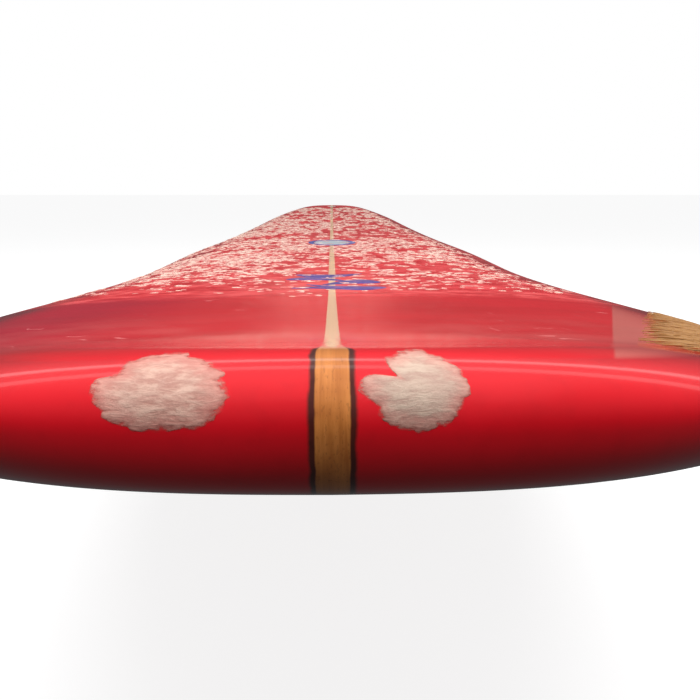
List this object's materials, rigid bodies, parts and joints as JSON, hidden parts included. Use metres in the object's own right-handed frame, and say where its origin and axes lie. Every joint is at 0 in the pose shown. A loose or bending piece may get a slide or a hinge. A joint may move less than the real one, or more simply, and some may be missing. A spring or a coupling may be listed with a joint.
{
  "type": "surfboard",
  "caption": "Red longboard surfboard with a wooden stringer, waxed deck, slotted fin box, sliding centre fin, leash cup and old nose repairs.",
  "frame": {"origin": "on the centreline of the board, on the flat of its bottom, midway along that flat", "axes": "+Y from the nose to the tail, +Z out of the deck, +X to the right when looking from the nose to the tail"},
  "size_m": [0.58, 2.7439, 0.2788],
  "materials": {
    "foam": "matte",
    "cedar": "satin",
    "glue": "satin",
    "red_resin": "gloss",
    "wax": "matte",
    "emblem_ink": "gloss",
    "round_ink": "gloss",
    "filler": "matte",
    "old_resin": "satin",
    "box_plastic": "satin",
    "fin_fibreglass": "gloss",
    "pin_brass": "satin",
    "screw_steel": "satin",
    "plate_steel": "satin",
    "plug_plastic": "satin",
    "bar_steel": "satin"
  },
  "bodies": {
    "board": {"foam_core_left": "foam", "foam_core_right": "foam", "stringer": "cedar", "glue_line_left": "glue", "glue_line_right": "glue", "deck_glass": "red_resin", "bottom_glass": "red_resin", "wax_coat": "wax", "nose_emblem": "emblem_ink", "round_emblem": "round_ink", "nose_filler_left": "filler", "nose_filler_right": "filler", "rail_repair": "old_resin", "fin_box": "box_plastic", "leash_cup": "plug_plastic", "leash_bar": "bar_steel", "vent_plug": "plug_plastic"},
    "fin": {"fin": "fin_fibreglass", "fin_roll_pin": "pin_brass", "fin_screw": "screw_steel", "fin_nut_plate": "plate_steel"}
  },
  "joints": [
    {"name": "fin_slide", "type": "slide", "parent": "board", "child": "fin", "axis": [0, 0.9903, 0.1387], "range_m": [-0.025, 0.025]}
  ]
}
